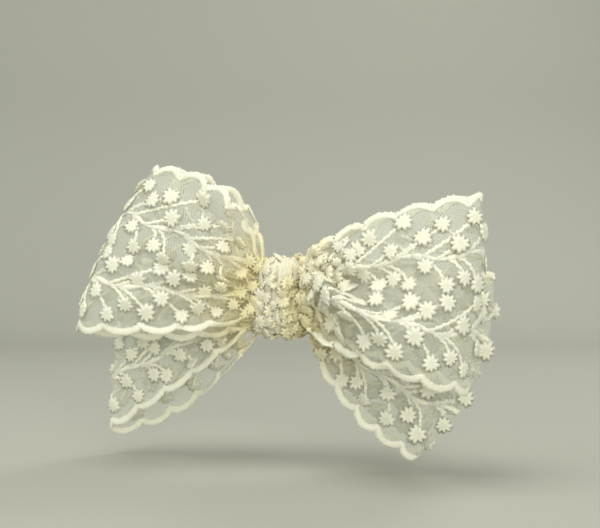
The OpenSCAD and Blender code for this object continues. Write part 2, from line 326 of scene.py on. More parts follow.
def run_round(loop, way):
    """A ring's stretch along one loop."""
    along = arc_length(loop.point(way, np.full_like(way, 0.5)))
    return Run(float(along[-1]), loop, way, along)


def bridge_over(first, second, end):
    """A ring's stretch through the knot, from one loop to the other."""
    gap = first.point(np.array(end), np.array(0.5)) - second.point(np.array(end), np.array(0.5))
    return Bridge(float(np.linalg.norm(gap)), first, second, end)


class Ring:
    """A ring as a surface, in millimetres: u runs round it, towards +X in front, and v across the lace."""

    def __init__(self, width, name, seed):
        left, right = (Loop(width, **LOOPS[name + side]) for side in ("_left", "_right"))
        way = np.linspace(0, 1, 600)
        self.sections = (
            run_round(right, way), bridge_over(right, left, 1.0),
            run_round(left, 1 - way), bridge_over(left, right, 0.0),
        )
        ends = np.cumsum([0.0] + [s.long for s in self.sections])
        self.starts, self.length, self.width = ends[:-1], float(ends[-1]), width
        self.waves = np.random.RandomState(seed).uniform(0, 2 * np.pi, 2)

    def at(self, u, v):
        u, v = np.broadcast_arrays(np.asarray(u, float), np.asarray(v, float))
        u = np.mod(u, self.length)
        out = np.zeros(u.shape + (3,))
        for section, start in zip(self.sections, self.starts):
            here = (u >= start) & (u < start + section.long)
            if here.any():
                place = self.on_run if isinstance(section, Run) else self.on_bridge
                out[here] = place(section, u[here], u[here] - start, v[here])
        return out

    def on_run(self, run, u, a, v):
        """Points on a loop, a along it."""
        w = 0.5 + v / self.width
        p = run.loop.point(np.interp(a, run.along, run.way), w)
        away = np.minimum(a, run.long - a)
        edge = np.clip(np.abs(v) / (self.width / 2), 0, 1) ** 8
        ruffle = RUFFLE_H * edge * np.sin(2 * np.pi * u / RUFFLE_PITCH + self.waves[0]) * ease(away / 8)
        soft = 0.35 * np.sin(u / 7.3 + 3.1 * w + self.waves[1]) * ease(away / 12)
        p[:, 1] += ruffle + soft - gathers(p[:, 0], p[:, 2])
        p[:, 1] += tucks(w) * np.exp(-away / 8)
        return p

    def on_bridge(self, bridge, u, a, v):
        """Points inside the knot, a along the bridge."""
        w = 0.5 + v / self.width
        f = (a / bridge.long)[:, None]
        end = np.full(a.shape, bridge.end)
        first, second = bridge.first.point(end, w), bridge.second.point(end, w)
        p = first * (1 - f) + second * f
        p[:, 1] += tucks(w)
        tight = 1 - 0.12 * np.sin(np.pi * a / bridge.long)
        p[:, 1] = KNOT_Y + (p[:, 1] - KNOT_Y) * tight
        p[:, 2] = KNOT_Z + (p[:, 2] - KNOT_Z) * tight
        return p

    def away(self, u):
        """How far u is from the knot, along the lace; 0 inside it."""
        u = np.mod(np.asarray(u, float), self.length)
        out = np.zeros(u.shape)
        for section, start in zip(self.sections, self.starts):
            if isinstance(section, Run):
                end = start + section.long
                out = np.where((u >= start) & (u < end), np.minimum(u - start, end - u), out)
        return out


class Band:
    """The knot band as a surface, in millimetres: u runs round it, down the front, and v across it."""

    def __init__(self, crumple, roll):
        self.crumple, self.roll = crumple, roll
        self.angle = np.linspace(0, 2 * np.pi, 721)
        self.along = arc_length(self.section(self.angle))
        self.length = float(self.along[-1])
        self.width = KNOT_W + 1.5

    def section(self, a):
        """(y, z) round the band from the top, down the front."""
        y, z = -np.sin(a), np.cos(a)
        return np.stack([KNOT_Y + KNOT_D / 2 * np.sign(y) * np.abs(y) ** 0.62,
                         KNOT_Z + KNOT_H / 2 * np.sign(z) * np.abs(z) ** 0.72], -1)

    def at(self, u, v):
        u, v = np.broadcast_arrays(np.asarray(u, float), np.asarray(v, float))
        a = np.interp(np.mod(u, self.length), self.along, self.angle)
        yz = self.section(a)
        q = np.clip(2 * v / self.width, -1.05, 1.05)
        half = (KNOT_TOP_W + (KNOT_W - KNOT_TOP_W) * (KNOT_Z + KNOT_H / 2 - yz[..., 1]) / KNOT_H) / 2
        across, up = half * q, a * 5.0
        lumps = (
            0.6 * np.sin(1.5 * across + 0.9 * up + 0.4) * np.cos(0.9 * up - 1.1 * across)
            + 0.45 * np.sin(2.2 * across - 1.5 * up + 2.0)
            + 0.4 * np.sin(3.6 * across + 2.3 * up) * np.cos(3.1 * up - 1.7 * across + 1.0)
        )
        roll = bell(q, 0.16, 0.12) * bell(a, 0.34 * np.pi, 0.75)
        sides = 0.35 * bell(q, -0.86, 0.1) - 0.4 * bell(q, -0.66, 0.08)
        dip = -0.6 * bell(q, 0.2, 0.5) * bell(a, 0.1 * np.pi, 0.22)
        barrel = -1.7 * np.abs(q) ** 4
        height = self.crumple * lumps * (1 - 0.9 * roll) + self.roll * roll + sides + dip + barrel
        yz = yz + unit(yz - np.array([KNOT_Y, KNOT_Z])) * height[..., None]
        return np.stack([across, yz[..., 0], yz[..., 1]], -1)


def frames(surface, u, v):
    """Points, both unit tangents and the normal of a surface."""
    step = 0.08
    tu = unit(surface.at(u + step, v) - surface.at(u - step, v))
    n = unit(np.cross(tu, surface.at(u, v + step) - surface.at(u, v - step)))
    return surface.at(u, v), tu, np.cross(n, tu), n


def evenly(surface, step):
    """Places round a surface, about step apart."""
    count = int(surface.length / step)
    return np.arange(count) * surface.length / count


# ---------------------------------------------------------------- mesh helpers

UV_UNIT = 100.0


def link(name, data):
    """A new object in the scene."""
    made = bpy.data.objects.new(name, data)
    bpy.context.collection.objects.link(made)
    return made


class Work:
    """Collects the corners, faces and pattern coordinates of one piece, in millimetres."""

    def __init__(self):
        self.points, self.faces, self.uvs, self.count = [], [], [], 0

    def add(self, points, faces, uv):
        """uv is one pair for each point."""
        points = np.asarray(points, float).reshape(-1, 3)
        self.points.append(points)
        uv = np.asarray(uv, float).reshape(-1, 2)
        for f in faces:
            self.faces.append([self.count + k for k in f])
            self.uvs.extend(uv[k] for k in f)
        self.count += len(points)

    def make(self, name, made):
        mesh = bpy.data.meshes.new(name)
        mesh.from_pydata(np.concatenate(self.points) * MM, [], self.faces)
        layer = mesh.uv_layers.new(name="Pattern")
        layer.data.foreach_set("uv", np.asarray(self.uvs, np.float32).ravel())
        mesh.polygons.foreach_set("use_smooth", [True] * len(mesh.polygons))
        mesh.materials.append(made)
        mesh.validate()
        mesh.update()
        return link(name, mesh)


def closed_sheet(name, surface, u, v, made):
    """One layer of cloth that closes round a surface. v holds a row of points for each place u."""
    rows, columns = v.shape
    flat = np.stack([np.broadcast_to((u / surface.length)[:, None], v.shape), v / surface.width + 0.5], -1)
    work = Work()
    work.points.append(surface.at(u[:, None] + 0 * v, v).reshape(-1, 3))
    for i in range(rows):
        j = (i + 1) % rows
        for k in range(columns - 1):
            face = ((i, k), (j, k), (j, k + 1), (i, k + 1))
            work.faces.append([row * columns + column for row, column in face])
            for row, column in face:
                x, y = flat[row, column]
                work.uvs.append((1.0 if j == 0 and row == 0 else x, y))
    return work.make(name, made)


def tube(work, centre, across, out, wide, high, sides=6, low=None, closed=False, start=0.0, section=None):
    """A line with a flattened section, from points along its middle.

    wide and high are half sizes, and low is the underside's. start is where the pattern starts.
    """
    n = len(centre)
    low = high if low is None else low
    wide, high, low = (np.broadcast_to(np.asarray(x, float), (n,)) for x in (wide, high, low))
    a = 2 * np.pi * (np.arange(sides) + 0.5) / sides
    c, s = (np.cos(a), np.sin(a)) if section is None else np.array(section).T
    sides = len(c)
    rise = np.where(s > 0, high[:, None] * s, low[:, None] * s)
    reach = wide[:, None] * c
    ring = centre[:, None] + across[:, None] * reach[..., None] + out[:, None] * rise[..., None]
    along = start + arc_length(centre)
    uv = np.stack(np.broadcast_arrays(along[:, None] / UV_UNIT, reach / UV_UNIT), -1)
    faces = []
    for i in range(n if closed else n - 1):
        j = (i + 1) % n
        for k in range(sides):
            m = (k + 1) % sides
            faces.append((i * sides + k, i * sides + m, j * sides + m, j * sides + k))
    if not closed:
        faces.append(tuple(range(sides))[::-1])
        faces.append(tuple((n - 1) * sides + k for k in range(sides)))
    work.add(ring, faces, uv)


def sew(work, surface, u, v, wide, high, lift=0.0, sides=6, closed=False, low=None):
    """A stitch line sewn along the path (u, v) of a surface."""
    p, _, _, n = frames(surface, u, v)
    run = unit(np.roll(p, -1, 0) - np.roll(p, 1, 0) if closed else np.gradient(p, axis=0))
    tube(work, p + n * lift, unit(np.cross(n, run)), n, wide, high, sides, low, closed, float(np.min(u)))


PETALS = 9
PETAL_CORNERS = (0.0, 0.25, 0.75)
HEAD_PITCH = 0.3


def seed_head(work, place, ahead, out, size, tilt, spin, dome):
    """A seed head of blunt satin stitched petals. It stays stiff where the net folds."""
    ahead = unit(ahead - out * ahead.dot(out))
    side = np.cross(out, ahead)
    out = unit(out + ahead * math.tan(tilt[0]) + side * math.tan(tilt[1]))
    ahead = unit(ahead - out * ahead.dot(out))
    side = np.cross(out, ahead)
    count = 3 * PETALS
    corner = np.arange(count) % 3
    tip = corner > 0
    a = 2 * np.pi * (np.arange(count) // 3 + np.array(PETAL_CORNERS)[corner]) / PETALS + spin
    uneven = 1 + 0.1 * np.cos(a - spin) + 0.08 * np.sin(3 * a + 7 * spin) + 0.05 * np.cos(5 * a + 11 * spin)

    def ring(radius, height):
        r = (radius * uneven)[:, None]
        return place + ahead * np.cos(a)[:, None] * r + side * np.sin(a)[:, None] * r + out * height[:, None]

    top = ring(size * np.where(tip, 0.29, 0.22), np.where(tip, 1.0, 0.68) * dome)
    edge = ring(size / 2 * np.where(tip, 1.04, 0.82), np.where(tip, 0.26, 0.04))
    heart = np.array([place + out * dome * 0.9, place - out * 0.15])
    faces = []
    for k in range(count):
        m = (k + 1) % count
        faces.append((2 * count, k, m))
        faces.append((k, count + k, count + m, m))
        faces.append((2 * count + 1, count + m, count + k))
    # the stitch pattern paints shade into the notches and is palest on the petals
    uv = np.stack([np.where(tip, 0.5, 0.0) * HEAD_PITCH / UV_UNIT, np.zeros(count)], -1)
    work.add(np.concatenate([top, edge, heart]), faces, np.concatenate([uv, uv, uv[1:3]]))


def fresh():
    """Leaves edit mode and deselects everything, the frame's pieces included."""
    if bpy.context.object and bpy.context.object.mode != "OBJECT":
        bpy.ops.object.mode_set(mode="OBJECT")
    bpy.ops.object.select_all(action="DESELECT")


def pick_edges(piece, test):
    """Goes into edit mode with the edges selected whose two ends pass the test."""
    bpy.ops.object.mode_set(mode="EDIT")
    bpy.ops.mesh.select_mode(type="EDGE")
    bpy.ops.mesh.select_all(action="DESELECT")
    bpy.ops.object.mode_set(mode="OBJECT")
    corners = piece.data.vertices
    for edge in piece.data.edges:
        edge.select = bool(test(*(corners[k].co for k in edge.vertices)))
    bpy.ops.object.mode_set(mode="EDIT")


def settle(piece):
    """Applies the modifiers and puts the object at the origin, with its place in its mesh."""
    fresh()
    piece.select_set(True)
    bpy.context.view_layer.objects.active = piece
    for modifier in list(piece.modifiers):
        bpy.ops.object.modifier_apply(modifier=modifier.name)
    bpy.ops.object.transform_apply(location=True, rotation=True, scale=True)


def rounded_line(corners, radius, step, closed=False):
    """Evenly spaced points along straight runs with rounded corners, in two dimensions."""
    corners = [np.array(c, float) for c in corners]
    n, points = len(corners), []
    for k, c in enumerate(corners):
        if not closed and k in (0, n - 1):
            points.append(c)
            continue
        into, away = unit(c - corners[k - 1]), unit(corners[(k + 1) % n] - c)
        turn = math.acos(float(np.clip(into @ away, -1, 1)))
        start = c - into * radius * math.tan(turn / 2)
        side = unit(away - into * (away @ into))
        for a in np.linspace(0, turn, 9):
            points.append(start + into * radius * math.sin(a) + side * radius * (1 - math.cos(a)))
    if closed:
        points.append(points[0])
    points = np.array(points)
    along = arc_length(points)
    want = np.linspace(0, along[-1], max(2, int(along[-1] / step)), endpoint=not closed)
    return np.stack([np.interp(want, along, points[:, k]) for k in (0, 1)], -1)


# ---------------------------------------------------------------- materials


def add(tree, kind, inputs=None, **settings):
    node = tree.nodes.new(kind)
    for k, value in settings.items():
        setattr(node, k, value)
    for k, value in (inputs or {}).items():
        if isinstance(value, bpy.types.NodeSocket):
            tree.links.new(value, node.inputs[k])
        else:
            node.inputs[k].default_value = value
    return node


def maths(tree, what, a, b=0.0, c=0.0):
    return add(tree, "ShaderNodeMath", {0: a, 1: b, 2: c}, operation=what).outputs[0]


def vectors(tree, what, a, b=(0, 0, 0), result="Vector"):
    return add(tree, "ShaderNodeVectorMath", {0: a, 1: b}, operation=what).outputs[result]


def on_piece(tree):
    """The place on the piece, in metres."""
    return add(tree, "ShaderNodeTexCoord").outputs["Object"]


def pattern(tree, long=UV_UNIT, wide=UV_UNIT):
    """The place along and across the lace or the thread, in millimetres."""
    uv = add(tree, "ShaderNodeUVMap", uv_map="Pattern").outputs[0]
    return vectors(tree, "MULTIPLY", uv, (long, wide, 1))


def clouds(tree, place, scale, detail, result="Fac"):
    inputs = {"Vector": place, "Scale": scale, "Detail": detail}
    return add(tree, "ShaderNodeTexNoise", inputs).outputs[result]


def spread(tree, value, low, high, start=0.0, end=1.0, **settings):
    """Takes value from start to end over to low to high."""
    return add(tree, "ShaderNodeMapRange", {
        "Value": value, "From Min": start, "From Max": end, "To Min": low, "To Max": high,
    }, **settings).outputs[0]


def mix_colour(tree, fac, a, b, blend="MIX"):
    node = add(tree, "ShaderNodeMix", {"Factor": fac}, data_type="RGBA", blend_type=blend)
    for k, value in (("A", a), ("B", b)):
        target = [s for s in node.inputs if s.name == k and s.type == "RGBA"][0]
        if isinstance(value, bpy.types.NodeSocket):
            tree.links.new(value, target)
        else:
            target.default_value = (*value, 1)
    return [o for o in node.outputs if o.type == "RGBA"][0]


def shaded(tree, colour, shade):
    """A colour made darker by a shade from 0 to 1."""
    grey = add(tree, "ShaderNodeCombineColor", {k: shade for k in (0, 1, 2)}).outputs[0]
    return mix_colour(tree, 1.0, colour, grey, "MULTIPLY")


def bump(tree, bsdf, height, strength, distance):
    node = add(tree, "ShaderNodeBump", {"Height": height, "Strength": strength, "Distance": distance})
    tree.links.new(node.outputs[0], bsdf.inputs["Normal"])


def material(name, **shader):
    """A new material with a bare Principled BSDF; returns it, its tree and the shader."""
    made = bpy.data.materials.new(name)
    made.use_nodes = True
    tree = made.node_tree
    bsdf = next(n for n in tree.nodes if n.type == "BSDF_PRINCIPLED")
    for k, value in shader.items():
        bsdf.inputs[k.replace("_", " ")].default_value = value
    return made, tree, bsdf


def new_group(name, inputs, outputs):
    """An empty node group. An input without a default is a vector, and everything else is a number."""
    tree = bpy.data.node_groups.new(name, "ShaderNodeTree")
    for key, default in inputs.items():
        kind = "NodeSocketVector" if default is None else "NodeSocketFloat"
        made = tree.interface.new_socket(name=key, in_out="INPUT", socket_type=kind)
        if default is not None:
            made.default_value = default
    for key in outputs:
        tree.interface.new_socket(name=key, in_out="OUTPUT", socket_type="NodeSocketFloat")
    return tree, tree.nodes.new("NodeGroupInput").outputs, tree.nodes.new("NodeGroupOutput").inputs


def use_group(tree, name, maker, inputs):
    """Places a node group, which its maker builds the first time."""
    built = bpy.data.node_groups.get(name) or maker(name)
    return add(tree, "ShaderNodeGroup", inputs, node_tree=built).outputs


# the repeat of a hexagonal net whose holes are 1 apart, and half of it
HEX_CELL, HEX_HALF = (1.0, 1.7320508, 1.0), (0.5, 0.8660254, 0.5)


def nearest_hole(tree, place):
    """The way from the nearest hole of one of the two grids of a hexagonal net, and its squared length."""
    inputs = {0: place, 1: HEX_CELL, 2: (0, 0, 0)}
    wrapped = add(tree, "ShaderNodeVectorMath", inputs, operation="WRAP").outputs[0]
    way = vectors(tree, "MULTIPLY", vectors(tree, "SUBTRACT", wrapped, HEX_HALF), (1, 1, 0))
    return way, vectors(tree, "DOT_PRODUCT", way, way, "Value")


def net_group(name):
    """Hexagonal net: 1 on a thread and 0 in a hole."""
    inputs = {"Pattern": None, "Hole": 1.0, "Row": 0.75, "Thread": 0.1}
    tree, into, out = new_group(name, inputs, ("Threads",))
    size = add(tree, "ShaderNodeCombineXYZ", {0: into["Hole"], 1: into["Row"], 2: 1.0}).outputs[0]
    drift = vectors(tree, "SUBTRACT", clouds(tree, into["Pattern"], 0.35, 1.0, "Color"), (0.5, 0.5, 0.5))
    wander = vectors(tree, "MULTIPLY", drift, (0.5, 0.5, 0.5))
    place = vectors(tree, "DIVIDE", vectors(tree, "ADD", into["Pattern"], wander), size)
    a, near_a = nearest_hole(tree, place)
    b, near_b = nearest_hole(tree, vectors(tree, "ADD", place, HEX_HALF))
    nearer = maths(tree, "LESS_THAN", near_a, near_b)
    pick = add(tree, "ShaderNodeMix", {"Factor": nearer}, data_type="VECTOR")
    tree.links.new(b, pick.inputs["A"])
    tree.links.new(a, pick.inputs["B"])
    way = vectors(tree, "ABSOLUTE", [o for o in pick.outputs if o.type == "VECTOR"][0])
    slope = vectors(tree, "DOT_PRODUCT", way, (0.5, 0.8660254, 0), "Value")
    x = add(tree, "ShaderNodeSeparateXYZ", {0: way}).outputs[0]
    edge = maths(tree, "SUBTRACT", 0.5, maths(tree, "MAXIMUM", x, slope))
    start, end = (maths(tree, "MULTIPLY", into["Thread"], share) for share in (0.7, 1.3))
    tree.links.new(spread(tree, edge, 1.0, 0.0, start, end), out["Threads"])
    return tree


def stitch_group(name):
    """Satin stitches across a line: their height, and a shade that darkens between them."""
    tree, into, out = new_group(name, {"Pattern": None, "Pitch": 0.3, "Between": 0.82}, ("Height", "Shade"))
    loose = clouds(tree, into["Pattern"], 2.2, 2.0)
    x = add(tree, "ShaderNodeSeparateXYZ", {0: into["Pattern"]}).outputs
    lean = maths(tree, "ADD", x[0], maths(tree, "MULTIPLY", x[1], 0.35))
    turn = maths(tree, "DIVIDE", lean, into["Pitch"])
    turn = maths(tree, "ADD", turn, maths(tree, "MULTIPLY", loose, 1.4))
    wave = maths(tree, "ABSOLUTE", maths(tree, "SINE", maths(tree, "MULTIPLY", turn, math.pi)))
    tree.links.new(maths(tree, "MULTIPLY_ADD", loose, 0.4, wave), out["Height"])
    tree.links.new(spread(tree, wave, into["Between"], 1.0, 0.0, 0.6), out["Shade"])
    return tree


def knot_shade_group(name):
    """Painted warm shade of the stacked layers: the first output is 1 at the knot and 0 where the loops are
    open, and the second is 1 on the knot's right half.
    """
    tree, into, out = new_group(name, {"Near": 0.006, "Far": 0.03}, ("Knot shade", "Right knot shade"))
    place = on_piece(tree)
    patch = maths(tree, "SUBTRACT", clouds(tree, place, 90.0, 3.0), 0.5)
    away = vectors(tree, "LENGTH", vectors(tree, "SUBTRACT", place, (0.0, KNOT_Y * MM, 0.0)), result="Value")
    away = maths(tree, "ADD", away, maths(tree, "MULTIPLY", patch, 0.02))
    knot_shade = spread(tree, away, 1.0, 0.0, into["Near"], into["Far"], interpolation_type="SMOOTHSTEP")
    tree.links.new(knot_shade, out["Knot shade"])
    x = add(tree, "ShaderNodeSeparateXYZ", {0: place}).outputs[0]
    across = maths(tree, "MULTIPLY_ADD", patch, 0.006, x)
    tree.links.new(spread(tree, across, 0.0, 1.0, -0.001, 0.004), out["Right knot shade"])
    return tree


def embroidery_material(name, colour, knot_shade_colour, between=0.82, one_side=False):
    """Satin stitched thread. Near the knot its colour turns to the second one, a painted warm shade of the
    stacked layers. between is the shade between its stitches.
    """
    made, tree, bsdf = material(
        name, Roughness=0.6, Sheen_Weight=0.25, Sheen_Roughness=0.4, Specular_IOR_Level=0.3,
        Subsurface_Weight=0.25, Subsurface_Scale=0.001, Subsurface_Radius=(1.0, 0.9, 0.6),
    )
    stitches = use_group(tree, "Satin stitches", stitch_group, {
        "Pattern": pattern(tree), "Pitch": HEAD_PITCH, "Between": between,
    })
    knot_shade = use_group(tree, "Painted shade by the knot", knot_shade_group, {"Near": 0.01, "Far": 0.03})
    colour = mix_colour(tree, knot_shade["Right knot shade" if one_side else "Knot shade"], colour, knot_shade_colour)
    tree.links.new(shaded(tree, colour, stitches["Shade"]), bsdf.inputs["Base Color"])
    bump(tree, bsdf, stitches["Height"], 0.5, 0.00012)
    return made


def net_material(name, lace, surface, colour, knot_shade_colour, layers=1, thread=0.085, veil=0.06):
    """Net for a surface. Near the knot its colour turns to the second one, a painted warm shade of the
    stacked layers. thread is the thread's half width, and veil is how much the holes still cover.
    """
    made, tree, bsdf = material(name, Roughness=0.75, Sheen_Weight=0.2, Specular_IOR_Level=0.2)
    hole = lace.hole / MM
    threads = use_group(tree, "Hexagonal net", net_group, {
        "Pattern": pattern(tree, surface.length, surface.width * layers), "Hole": hole, "Row": 0.75 * hole,
        "Thread": thread,
    })["Threads"]
    tree.links.new(spread(tree, threads, veil, 0.95), bsdf.inputs["Alpha"])
    knot_shade = use_group(tree, "Painted shade by the knot", knot_shade_group, {"Near": 0.007, "Far": 0.032})
    tree.links.new(mix_colour(tree, knot_shade["Knot shade"], colour, knot_shade_colour), bsdf.inputs["Base Color"])
    bump(tree, bsdf, threads, 0.3, 0.0001)
    return made


# ---------------------------------------------------------------- the lace, in millimetres

STEM_V, STEM_SWAY = 10.9, 0.9
# how far the branches of a stem reach, towards the border and towards the lace's middle
BORDER_REACH = (10.6, 6.2, 8.8, 4.2)
MIDDLE_REACH = (9.2, 5.4, 7.8, 3.6)
# each ring's name and seed, and its crowds of seed heads: (near, far, low, high, count)
RINGS = (
    ("upper", 3, ((1.5, 9, -0.2, 0.45, 20), (8, 20, 0.02, 0.46, 26), (18, 32, 0.06, 0.42, 18),
                  (-15, -7, -0.4, 0.42, 16))),
    ("lower", 8, ()),
)


def scallop_pairs(ring, lace):
    return round(ring.length / (2 * lace.scallop / MM))


def edge_line(ring, lace, u):
    """How far the border's middle is from the lace's: scallops that bulge out and meet in sharp nicks."""
    bulge = np.abs(np.sin(2 * np.pi * u * scallop_pairs(ring, lace) / ring.length)) ** 0.65
    return ring.width / 2 - lace.border / MM / 2 - (1 - bulge) * lace.scallop_depth / MM


def slimmer(ring, u):
    """The lace's threads are squeezed together where it goes into the knot."""
    return 0.5 + 0.5 * ease(ring.away(u) / 15)


def sprig(branches, heads, ring, lace, noise, stem, u_end, side, reach):
    """A zigzag stitched branch from the stem to the seed head at u_end, reach away from the stem."""
    run = reach * (1.35 if side > 0 else 0.9)
    u_start = u_end - run
    v_start = float(stem(u_start))
    v_end = v_start + side * reach
    pull_u, pull_v = (0.45, 0.4) if side > 0 else (0.72, 0.22)
    steps = max(9, int(math.hypot(run, reach) / 0.34))
    s = np.linspace(0, 1, steps)
    u = bend(u_start, u_start + run * pull_u, u_end, s)
    v = bend(v_start, v_start + side * reach * pull_v, v_end, s)
    zigzag = 0.12 * np.where(np.arange(steps) % 6 < 3, 1, -1)
    tooth = np.resize([0.62, 1.3, 0.85], steps)
    slim = slimmer(ring, u)
    wide = lace.branch / MM / 2 * tooth * slim
    sew(branches, ring, u, v + zigzag, wide, (0.2 + 0.16 * tooth) * slim, lift=0.08, sides=5)
    near = float(ring.away(u_end))
    if near < 1.5:
        return
    loose = 1.0 - float(ease(near / 16))
    p, tu, tv, n = (x[0] for x in frames(ring, np.array([u_end]), np.array([v_end])))
    size = lace.flower / MM * noise.uniform(0.9, 1.12) * (1 - 0.2 * loose)
    lean = 0.14 + 0.3 * loose
    facing = np.array([0, -1.0, 0]) * (1 if n[1] < 0 else -1)
    out = unit(n * (1 - 0.75 * loose) + facing * 0.75 * loose)
    lift = out * (0.2 + noise.uniform(0.3, 2.0) * loose)
    seed_head(heads, p + lift, tu + side * tv, out, size, noise.uniform(-lean, lean, 2),
              noise.uniform(0, 2 * np.pi), noise.uniform(0.5, 0.72) + 0.7 * loose)


def crowd(heads, ring, noise, near, far, low, high, count):
    """Seed heads pushed together in front, from near to far along the lace, where the net is drawn in."""
    for _ in range(count):
        u, v = noise.uniform(near, far), noise.uniform(low, high) * ring.width
        p, tu, _, n = (x[0] for x in frames(ring, np.array([u]), np.array([v])))
        place = p - np.array([0, noise.uniform(0.2, 1.4), 0])
        out = unit(0.35 * n + np.array([0, -1.0, 0.1]))
        seed_head(heads, place, tu, out, noise.uniform(3.5, 4.4), noise.uniform(-0.5, 0.5, 2),
                  noise.uniform(0, 2 * np.pi), noise.uniform(0.8, 1.3))


def embroidery(ring, lace, thread, petals, seed, crowds, name):
    """Borders, stems, branches and seed heads. The branches always lean the way the lace runs."""
    noise = np.random.RandomState(seed)
    lines, heads = Work(), Work()
    u = evenly(ring, 0.3)
    ridge = np.resize([1.12, 0.76, 0.98, 0.7], len(u)) * noise.uniform(0.88, 1.1, len(u))
    for side in (-1, 1):
        wide = lace.border / MM / 2 * (1 + 0.07 * np.sin(u * 2.1 + side)) * ridge * slimmer(ring, u)
        v = side * edge_line(ring, lace, u)
        sew(lines, ring, u, v, wide, 0.34 * ridge, low=0.22 * ridge, sides=8, closed=True)
    u = evenly(ring, 0.4)
    beads = np.resize([1.0, 0.7, 0.9], len(u))
    branches = 4 * scallop_pairs(ring, lace)
    gap = ring.length / branches
    for stem in (-1, 1):
        phase = noise.uniform(0, 2 * np.pi)

        def line(x, stem=stem, phase=phase):
            return stem * STEM_V + STEM_SWAY * np.sin(2 * np.pi * x / (4 * gap) + phase)

        swell = 1 + 0.3 * np.sin(2 * np.pi * u / (2 * gap) + phase)
        wide = lace.stem / MM / 2 * swell * slimmer(ring, u) * beads
        sew(lines, ring, u, line(u), wide, 0.45 * beads, low=0.25 * beads, closed=True)
        for side in (-1, 1):
            reaches = BORDER_REACH if side == stem else MIDDLE_REACH
            shift = noise.uniform(0, gap)
            for k in range(branches):
                u_end = shift + k * gap + noise.uniform(-0.4, 0.4)
                reach = reaches[(k + side + 1) % 4] * noise.uniform(0.94, 1.06)
                sprig(lines, heads, ring, lace, noise, line, u_end, side, reach)
    for place in crowds:
        crowd(heads, ring, noise, *place)
    return lines.make(name + "_embroidery", thread), heads.make(name + "_seed_heads", petals)


class LACEBOW_OT_lace(bpy.types.Operator):
    """Gathers the two rings of embroidered net"""

    bl_idname = "lacebow.lace"
    bl_label = "Lace loops"

    def execute(self, context):
        lace = context.scene.lacebow_lace
        # the second colour is the painted warm shade by the knot
        colour, knot_shade = tuple(lace.thread_colour), tuple(lace.knot_shade_colour)
        thread = embroidery_material("Embroidery thread", colour, knot_shade)
        petals = embroidery_material("Seed head thread", colour, knot_shade, 0.7)
        for name, seed, crowds in RINGS:
            ring = Ring(round(lace.width / MM, 3), name, seed)
            made = net_material(name.title() + " net", lace, ring, tuple(lace.net_colour), knot_shade)
            u = evenly(ring, 0.7)
            v = edge_line(ring, lace, u)[:, None] * np.linspace(-1, 1, 79)
            net = closed_sheet(name + "_bow_net", ring, u, v, made)
            stitched = embroidery(ring, lace, thread, petals, seed, crowds, name + "_bow")
            for piece in (net, *stitched):
                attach(piece, "bow")
            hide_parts(name + "_bow_lace")
        return {"FINISHED"}


# ---------------------------------------------------------------- the knot, in millimetres

# rows of seed heads round the band: (place across it, width of a head, gap between heads)
KNOT_ROWS = (
    (-5.0, 3.8, 3.4), (-2.4, 3.7, 3.2), (-0.6, 2.8, 5.0), (3.5, 3.8, 2.6), (5.0, 3.8, 2.6), (6.3, 3.2, 2.8),
)
# stitched lines round the band: (place across it, half width)
KNOT_LINES = ((-6.3, 0.4), (-3.9, 0.3), (4.4, 0.35))


def is_bald(band, u, v):
    """Whether this is the plain part of the band, where it rolls over at the top of its front."""
    return abs(u / band.length - 0.08) < 0.06 and v > -3.5


def knot_embroidery(band, made):
    noise = np.random.RandomState(21)
    work = Work()
    for row, size, gap in KNOT_ROWS:
        u = noise.uniform(0, gap)
        while u < band.length:
            v = row + noise.uniform(-0.6, 0.6)
            p, tu, _, out = (x[0] for x in frames(band, np.array([u]), np.array([v])))
            if not is_bald(band, u, v):
                seed_head(work, p + out * noise.uniform(0.1, 0.4), tu, out, size * noise.uniform(0.9, 1.25),
                          noise.uniform(-0.22, 0.22, 2), noise.uniform(0, 2 * np.pi),
                          noise.uniform(0.5, 0.85))
            u += gap * noise.uniform(0.7, 1.2)
    for row, thick in KNOT_LINES:
        u = evenly(band, 0.35)
        tooth = np.resize([0.6, 1.3, 0.85], len(u))
        sway = 0.9 * np.sin(2 * np.pi * u * 4 / band.length + row)
        sew(work, band, u, row + sway, thick * tooth, 0.28 * tooth, lift=0.1, sides=5, closed=True)
    return work.make("knot_band_embroidery", made)


class LACEBOW_OT_knot(bpy.types.Operator):
    """Wraps the folded lace band round the middle"""

    bl_idname = "lacebow.knot"
    bl_label = "Knot band"

    def execute(self, context):
        lace, knot = context.scene.lacebow_lace, context.scene.lacebow_knot
        band = Band(knot.crumple / MM, knot.roll / MM)
        colour = tuple(knot.net_colour)
        u = np.arange(150) * band.length / 150
        v = np.tile(np.linspace(-0.5, 0.5, 61) * band.width, (len(u), 1))
        folded = net_material("Folded net", lace, band, colour, colour, layers=2, thread=0.16, veil=0.72)
        net = closed_sheet("knot_band_net", band, u, v, folded)
        # the band's right half takes the painted warm shade of the knot's stacked layers
        thread, knot_shade = tuple(knot.thread_colour), tuple(lace.knot_shade_colour)
        stitched = embroidery_material("Knot embroidery", thread, knot_shade, 0.68, one_side=True)
        sewn = knot_embroidery(band, stitched)
        for piece in (net, sewn):
            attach(piece, "bow")
        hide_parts("knot_band")
        return {"FINISHED"}


# ---------------------------------------------------------------- thread, felt and glue, in millimetres

THREAD_R, THREAD_TURNS = 0.2, 6
STITCH_R, STITCHES = 0.26, 4


def box_of(node):
    """The two corners of a CAD node's box."""
    return [np.array(p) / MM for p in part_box(node)]


